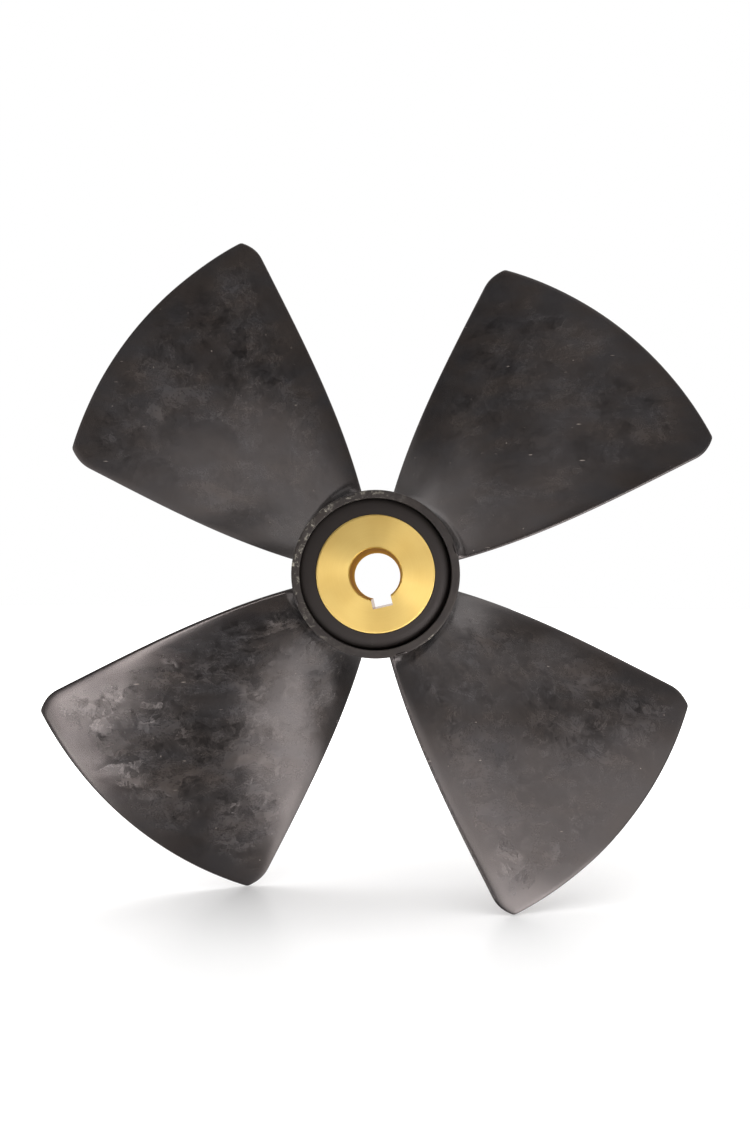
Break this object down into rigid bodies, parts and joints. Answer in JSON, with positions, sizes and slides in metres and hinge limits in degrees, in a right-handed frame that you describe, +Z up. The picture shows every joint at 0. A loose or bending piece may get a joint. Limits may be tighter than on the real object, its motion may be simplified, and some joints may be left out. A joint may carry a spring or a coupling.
{
  "type": "ship tunnel thruster propeller",
  "caption": "Fan-bladed ship thruster propeller: twisted composite blades moulded round a keyed brass hub bush.",
  "frame": {"origin": "centre of the hub on the shaft axis, half way between the bush's two end faces", "axes": "Y is the shaft axis with the pictured face along -Y; +Z is up as it stands in the picture, with the blades on the diagonals"},
  "size_m": [0.272, 0.053, 0.272],
  "materials": {
    "barrel": "dark fibre-filled moulding, satin, rim worn lighter",
    "boss": "black moulded ring, satin",
    "bush": "turned, satin",
    "blade": "dark fibre-filled moulding, mottled, satin"
  },
  "bodies": {
    "root": {"hub_barrel": "barrel", "hub_boss": "boss", "hub_bush": "bush", "blade_1": "blade", "blade_2": "blade", "blade_3": "blade", "blade_4": "blade"}
  },
  "joints": []
}
